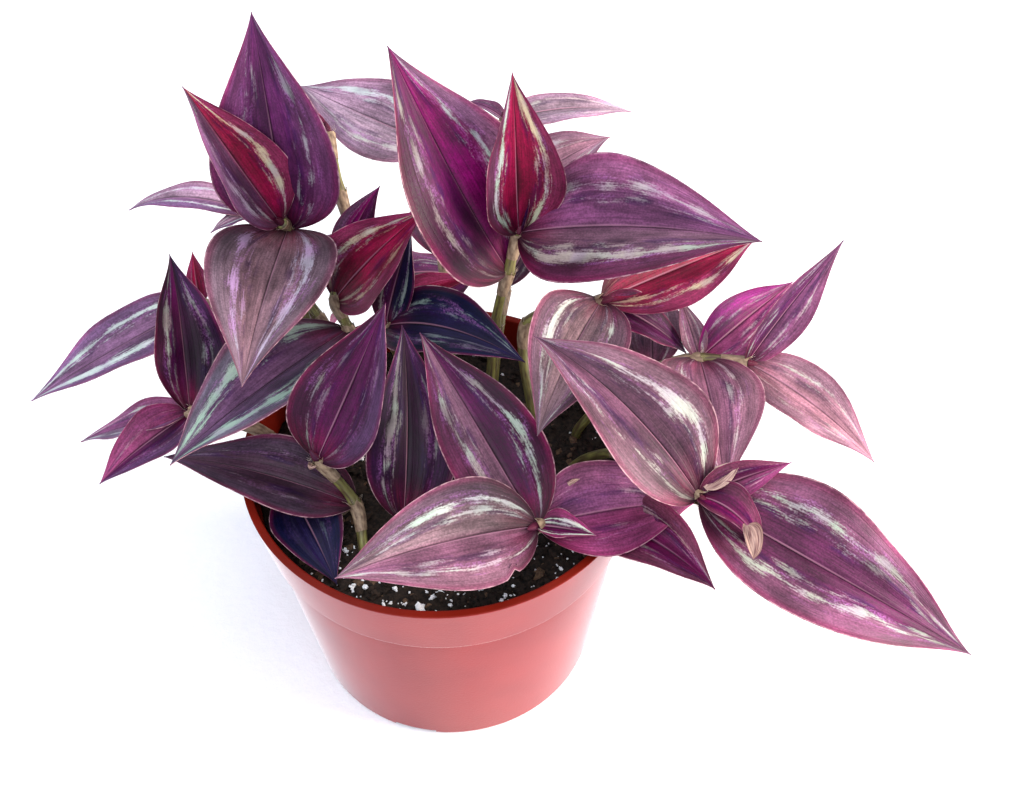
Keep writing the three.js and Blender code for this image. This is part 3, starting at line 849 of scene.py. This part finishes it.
def add_stem(growth, stem, seed):
    """The cane, its swollen joints, the sheath with its hairs at each joint, and the bud at its end,
    a young leaf still rolled up."""
    x, y = stem["root"]
    buried = [(x, y, z) for z in UPRIGHT_Z]
    points = [np.array(point, float) for point in buried + stem["nodes"]]
    shares = np.linspace(0, 1, STEM_RINGS)
    line = np.array([curve_point(points, share) for share in shares])
    radii = np.full(STEM_RINGS, float(STEM_RADIUS))
    for node in stem["nodes"]:
        away = np.linalg.norm(line - np.array(node), axis=1)
        radii += JOINT_SWELLING * np.exp(-((away / JOINT_LENGTH) ** 2))
    radii[-1] *= END_TAPER
    add_tube(growth, line, radii, CANE, seed)
    travelled = np.concatenate([[0], np.cumsum(np.linalg.norm(np.diff(line, axis=0), axis=1))])
    draw = random.Random(seed)
    for node in stem["nodes"]:
        mouth = travelled[np.argmin(np.linalg.norm(line - np.array(node), axis=1))]
        steps = np.linspace(mouth - SHEATH_BELOW_JOINT, mouth + SHEATH_PAST_JOINT, SHEATH_RINGS)
        axis = np.stack([np.interp(steps, travelled, line[:, k]) for k in range(3)], axis=1)
        ahead = unit(axis[-2] - axis[-4])
        axis += np.outer(np.maximum(steps - travelled[-1], 0), ahead)
        add_sheath(growth, axis, draw)
        for _ in range(HAIRS):
            add_hair(growth, axis[-1], ahead, draw)
    forward = unit(line[-1] - line[-2])
    bud = [line[-1] + reach * forward for reach, _ in BUD]
    radii = [radius for _, radius in BUD]
    young = np.array(skin_colour(BUD_SKIN))
    add_tube(growth, bud, radii, SKIN, seed, outer=young, centre=young, stripe=young)


def add_sheath(growth, axis, draw):
    """The papery cuff along its axis, as an outer and an inner skin, torn unevenly at its mouth."""
    torn = [draw.uniform(*SHEATH_TEARS) for _ in range(STEM_SIDES)]
    rise = np.linspace(0, 1, SHEATH_RINGS)
    outer = SHEATH_FOOT_RADIUS + (SHEATH_MOUTH_RADIUS - SHEATH_FOOT_RADIUS) * rise
    rings = list(zip(axis, rise, outer)) + list(zip(axis, rise, outer - SHEATH_PAPER))[::-1]
    ahead = unit(axis[-1] - axis[0])
    across = unit(np.cross(ahead, ASIDE))
    verts, place = [], []
    for point, height, radius in rings:
        for k in range(STEM_SIDES):
            outward = turned_about(across, ahead, 360 * k / STEM_SIDES)
            verts.append(point + radius * outward + ahead * torn[k] * height**4)
            place.append((k / STEM_SIDES, height, 0))
    growth.add(verts, ring_faces(len(rings), closed=True), SHEATH, place=np.array(place))


def add_hair(growth, here, ahead, draw):
    """One fine hair at the sheath's mouth, a thin three-sided spike that leans outward."""
    outward = turned_about(unit(np.cross(ahead, ASIDE)), ahead, draw.uniform(0, 360))
    foot = here + outward * SHEATH_MOUTH_RADIUS * HAIR_FOOT
    tip = foot + unit(ahead + outward * draw.uniform(*HAIR_LEAN)) * draw.uniform(*HAIR_LENGTHS)
    sideways = np.cross(outward, ahead)
    ring = [foot + HAIR_RADIUS * turned_about(outward, sideways, 120 * k) for k in range(3)]
    growth.add(ring + [tip], [(0, 1, 3), (1, 2, 3), (2, 0, 3), (2, 1, 0)], HAIR)


def living_leaf_skin():
    """Skin of a living leaf: a thin satin cuticle over soft cells full of purple sap. Air under the
    skin makes the silvery stripes, which run with the veins and fray cell by cell. Veins lie 1 to
    2 mm apart. Cells are drawn half a millimetre across, coarser than real, so that their sparkle
    shows."""
    made, tree, shader = new_material("living_leaf_skin", {"IOR": 1.36, "Specular IOR Level": 0.26})

    def total(start, *terms):
        """The start and its terms added up. A term is a value and its weight."""
        for value, weight in terms:
            inputs = {0: value, 1: weight, 2: start}
            start = add_node(tree, "Math", inputs, 0, operation="MULTIPLY_ADD")
        return start

    def product(result, *factors):
        for factor in factors:
            result = add_node(tree, "Math", {0: result, 1: factor}, 0, operation="MULTIPLY")
        return result

    def apart(value, other):
        """How far apart the two are."""
        difference = add_node(tree, "Math", {0: value, 1: other}, 0, operation="SUBTRACT")
        return add_node(tree, "Math", {0: difference}, 0, operation="ABSOLUTE")

    def ramps(*rows):
        """The product of smooth ramps. A row is a value, where on it the ramp begins and ends, and
        what it runs from and to, if not from 0 to 1."""
        factors = []
        for value, begin, end, *span in rows:
            inputs = dict(enumerate([value, begin, end, *(span or (0, 1))]))
            factors.append(add_node(tree, "MapRange", inputs, 0, interpolation_type="SMOOTHSTEP"))
        return product(*factors)

    def layered(colour, *layers):
        """The colour under its layers. A layer is how far it covers what is below, and its colour."""
        for cover, over in layers:
            inputs = {0: cover, 6: colour, 7: over}
            colour = add_node(tree, "Mix", inputs, 2, data_type="RGBA")
        return colour

    def in_skin(tone):
        return skin_colour(tone) + [1]

    place, size = [
        add_node(tree, "Attribute", {}, "Vector", attribute_name=name) for name in ("place", "size")
    ]
    outer, centre, silvery = [
        add_node(tree, "Attribute", {}, "Color", attribute_name=name)
        for name in ("outer", "centre", "stripe")
    ]
    amount = add_node(tree, "Attribute", {}, "Fac", attribute_name="amount")
    across, along, seed = [add_node(tree, "SeparateXYZ", {0: place}, axis) for axis in "XYZ"]
    blade_half, blade_length = [add_node(tree, "SeparateXYZ", {0: size}, axis) for axis in "XY"]
    across_mm = product(across, blade_half)
    along_mm = product(along, blade_length)
    away = apart(across, 0)
    side = add_node(tree, "Math", {0: across}, 0, operation="SIGN")
    half_of_leaf = total(0, (seed, 7.3), (side, 2.6))

    def patches(width, length, detail, shift):
        """Noise in patches of that width and length along the veins, unlike in each leaf half."""
        inputs = {
            0: product(across_mm, 1 / width),
            1: product(along_mm, 1 / length),
            2: total(shift, (half_of_leaf, 1)),
        }
        spot = add_node(tree, "CombineXYZ", inputs, 0)
        inputs = {"Vector": spot, "Scale": 1, "Detail": detail, "Roughness": 0.6}
        return add_node(tree, "TexNoise", inputs, "Fac")

    streaks = patches(0.55, 9, 3, 0)
    hatching = patches(0.45, 1.4, 2, 13)
    cells = patches(0.5, 0.6, 1, 25)
    flecks = patches(1.2, 2.4, 2, 31)
    clouds = patches(8, 20, 2, 38)
    tints = patches(2.2, 10, 2, 51)

    # The stripe's middle and half width wander along the leaf, streaks and cells fray its edges, and
    # now and then a second, thinner strand runs beside it. A strong stripe is wide too
    middle = total(0.32, (patches(50, 20, 1, 62), 0.45))
    half_width = total(-0.24, (amount, 0.13), (patches(50, 9, 1, 77), 0.3))
    beside = total(-0.15, (patches(50, 12, 1, 83), 0.3))
    fray = total(-0.26, (streaks, 0.26), (hatching, 0.16), (cells, 0.1))
    from_middle = apart(away, middle)
    from_beside = apart(away, total(-0.19, (middle, 1)))
    strand = ramps((total(half_width, (fray, 1), (from_middle, -1)), -0.05, 0.07))
    thin_strand = ramps((total(beside, (fray, 1), (from_beside, -1)), -0.03, 0.08, 0, 0.7))
    strands = add_node(tree, "Math", {0: strand, 1: thin_strand}, 0, operation="MAXIMUM")
    fades = ramps(
        (total(along, (streaks, 0.12)), 0.07, 0.19),
        (along, 1, 0.93),
        (clouds, 0.28, 0.55, 0.4, 1),
    )
    stripe = product(strands, fades, amount)

    vein_wave = product(across, math.pi * VEINS)
    vein = apart(add_node(tree, "Math", {0: vein_wave}, 0, operation="SINE"), 0)

    # The skin takes its edge tone outwards. Over it lie the dark flank of the stripe, the glint of
    # the cells in and by it, the red of the edge, and the flush at the leaf's base
    towards_edge = total(away, (streaks, 0.25), (clouds, 0.5))
    flank = ramps((apart(away, total(-0.2, (middle, 1))), 0.16, 0.03), (tints, 0.54, 0.4, 0, 0.5))
    glint = ramps((from_middle, 0.26, 0.1), (tints, 0.5, 0.62), (cells, 0.25, 0.7, 0, 0.35))
    skin = layered(
        centre,
        (ramps((towards_edge, 0.72, 1.05)), outer),
        (flank, in_skin("#3c2450")),
        (product(glint, amount), in_skin("#aa6cb0")),
        (ramps((away, 0.82, 0.95, 0, 0.35)), in_skin("#8a2c54")),
        (ramps((along, 0.26, 0.03), (tints, 0.35, 0.6, 0.2, 0.6)), in_skin("#86204a")),
    )
    # It is mottled all over and darker along the veins. Towards its base it darkens, most of all at
    # the base itself, as painted shade, and a thin dark line along the midrib is partly its own colour
    # and partly painted shade in the midrib's groove
    shade = ramps(
        (clouds, 0.25, 0.75, 0.54, 1.54),
        (cells, 0.25, 0.75, 0.78, 1.22),
        (flecks, 0.3, 0.7, 0.88, 1.12),
        (streaks, 0.3, 0.7, 0.8, 1.24),
        (vein, 0, 0.35, 0.82, 1),
        (along, 0, 0.14, 0.32, 1),
        (along, 0, 0.85, 0.68, 1.04),
        (apart(across_mm, 0), 0.15, 0.45, 0.55, 1),
    )
    inputs = {0: 1, 6: skin, 7: shade}
    skin = add_node(tree, "Mix", inputs, 2, data_type="RGBA", blend_type="MULTIPLY")

    # The silver shows the skin through its cells, and turns mint or lilac in patches. Over it lie
    # the pale hairline of the leaf's edge and a pale line along each side of the midrib
    inputs = {0: ramps((hatching, 0.4, 0.62, 0, 0.25)), 1: ramps((cells, 0.45, 0.7, 0, 0.2))}
    silver = layered(
        silvery,
        (add_node(tree, "Math", inputs, 0, operation="MAXIMUM"), skin),
        (ramps((patches(30, 12, 1, 97), 0.42, 0.6, 0, 0.4)), in_skin("#a8ccb4")),
        (ramps((patches(30, 10, 1, 108), 0.52, 0.66, 0, 0.35)), in_skin("#b48cb8")),
    )
    colour = layered(
        skin,
        (stripe, silver),
        (ramps((away, 0.968, 0.988), (flecks, 0.4, 0.62, 0.08, 0.5)), in_skin("#f0c4c8")),
        (ramps((apart(across_mm, 0.35), 0.28, 0.08), (along, 0.9, 0.2, 0.1, 0.5)), in_skin("#c08aa0")),
    )
    relief = total(ramps((vein, 0, 0.5, 0, 0.5)), (cells, 0.7), (streaks, 0.5))
    inputs = {"Height": relief, "Strength": 0.5, "Distance": 0.12 * MM}
    gloss = total(ramps((cells, 0.2, 0.8, 0.4, 0.55)), (stripe, -0.06))
    tree.links.new(colour, shader.inputs["Base Color"])
    tree.links.new(add_node(tree, "Bump", inputs, "Normal"), shader.inputs["Normal"])
    tree.links.new(gloss, shader.inputs["Roughness"])
    return made


def streaked_skin(name, dark, light, roughness, rate):
    """Skin with streaks along it, about one to a millimetre of the cane's girth: of a fleshy cane
    with its ribs, of a sheath that has dried to a ribbed paper, or of a withered leaf."""
    made, tree, shader = new_material(name, {"IOR": 1.4, "Roughness": roughness})
    place = add_node(tree, "Attribute", {}, "Vector", attribute_name="place")
    inputs = {0: place, 1: (STREAKS_ROUND, rate, 3)}
    spot = add_node(tree, "VectorMath", inputs, 0, operation="MULTIPLY")
    streaks = add_node(tree, "TexNoise", {"Vector": spot, "Scale": 1, "Detail": 3}, "Fac")
    toned_relief(tree, shader, streaks, (0.35, 0.68), (dark, light), streaks, strength=0.5, depth=0.1)
    return made


leaf_skin = living_leaf_skin()
cane_skin = streaked_skin("fleshy_stem_skin", "#453624", "#7c7a42", 0.42, rate=0.16)
sheath_paper = streaked_skin("dried_sheath_membrane", "#5c4638", "#a08a70", 0.6, rate=3)
withered = streaked_skin("withered_leaf_tip", "#75504f", "#d8b6a4", 0.6, rate=2)
# Fine hairs fringe each sheath: colourless, so that they catch the light
hair, tree, shader = new_material("plant_hair", {"Roughness": 0.5, "IOR": 1.5})
shader.inputs["Base Color"].default_value = linear("#d8c8b8")

for stem_number, stem in enumerate(STEMS):
    growth = Growth()
    for blade_number, blade in enumerate(stem["leaves"]):
        add_blade(growth, stem["nodes"][blade["node"]], blade, 10 * stem_number + blade_number)
    for dried in stem.get("scales", []):
        add_blade(growth, dried["base"], dried, stem_number, dried["kind"], SCALE_THICKNESS)
    add_stem(growth, stem, stem_number)
    piece = new_piece(
        "leaves_" + stem["name"], growth.verts, growth.faces,
        [leaf_skin, cane_skin, sheath_paper, hair, withered], sharp_angle=50,
    )
    piece.data.polygons.foreach_set("material_index", growth.kinds)
    for name in ("place", "size"):
        layer = piece.data.attributes.new(name, "FLOAT_VECTOR", "POINT")
        layer.data.foreach_set("vector", np.array(growth.values[name], np.float32).ravel())
    for name in ("outer", "centre", "stripe"):
        layer = piece.data.color_attributes.new(name, "FLOAT_COLOR", "POINT")
        colours = np.c_[np.array(growth.values[name]), np.ones(len(growth.verts))]
        layer.data.foreach_set("color", colours.astype(np.float32).ravel())
    layer = piece.data.attributes.new("amount", "FLOAT", "POINT")
    layer.data.foreach_set("value", np.array(growth.amounts, np.float32))
    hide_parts("leafy_stem_" + stem["name"])
    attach(piece, "root")

# Floor, light and camera: a white surface, a soft window light from the right and the front, and
# the photograph's view, from 48 degrees above.
CAMERA_HEIGHT_ANGLE = 47.7
CAMERA_TILT = -1.1
CAMERA_TARGET = (19.4, 20.5, 80)
CAMERA_DISTANCE = 424.5
PHOTO_WIDTH = 1024
FOCAL_PIXELS = 1500
SENSOR_WIDTH = 36
FLOOR_REACH = 4000
FLOOR_Z = -0.1

# Matt paper, with the slight unevenness of its felt
paper = mottled(
    "matt_white_paper", {"Roughness": 0.95, "IOR": 1.4}, "#f5f8f9", "#fafcfd", size=3, contrast=0.3,
)
corners = [(-1, -1), (1, -1), (1, 1), (-1, 1)]
floor_verts = [(x * FLOOR_REACH, y * FLOOR_REACH, FLOOR_Z) for x, y in corners]
floor = new_piece("floor", floor_verts, [(0, 1, 2, 3)], [paper])

world = bpy.data.worlds.new("soft_studio")
scene.world = world
world.use_nodes = True
world.node_tree.nodes["Background"].inputs["Color"].default_value = linear("#e2edff")


def add_window(name, place, target, width, power, colour):
    """A soft square light at a place, facing the target, in metres and watts."""
    lamp = bpy.data.lights.new(name, "AREA")
    lamp.shape = "SQUARE"
    lamp.size = width
    lamp.energy = power
    lamp.color = linear(colour)[:3]
    holder = bpy.data.objects.new(name, lamp)
    holder.location = place
    holder.rotation_euler = (Vector(target) - Vector(place)).to_track_quat("-Z", "Y").to_euler()
    scene.collection.objects.link(holder)


add_window("window_right", (1.1, -0.15, 0.38), (0, 0, 0.06), width=0.6, power=32, colour="#fff0e2")
add_window("window_front", (-0.2, -1.0, 1.25), (0, 0, 0.08), width=1, power=13, colour="#f8f9ff")
add_window("ceiling", (0, 0.1, 1.8), (0, 0, 0), width=2, power=14, colour="#fffdfa")

elevation = math.radians(CAMERA_HEIGHT_ANGLE)
tilt = math.radians(CAMERA_TILT)
back = Vector((0, -math.cos(elevation), math.sin(elevation)))
level_right = Vector((1, 0, 0))
level_up = Vector((0, math.sin(elevation), math.cos(elevation)))
right = math.cos(tilt) * level_right + math.sin(tilt) * level_up
up = -math.sin(tilt) * level_right + math.cos(tilt) * level_up
place = (Vector(CAMERA_TARGET) + back * CAMERA_DISTANCE) * MM
camera_data = bpy.data.cameras.new("camera")
camera_data.sensor_width = SENSOR_WIDTH
camera_data.lens = SENSOR_WIDTH * FOCAL_PIXELS / PHOTO_WIDTH
camera_data.clip_start = 0.01
camera = bpy.data.objects.new("camera", camera_data)
camera.matrix_world = Matrix([
    (right.x, up.x, back.x, place.x),
    (right.y, up.y, back.y, place.y),
    (right.z, up.z, back.z, place.z),
    (0, 0, 0, 1),
])
scene.collection.objects.link(camera)
scene.camera = camera
scene.view_settings.view_transform = "Standard"
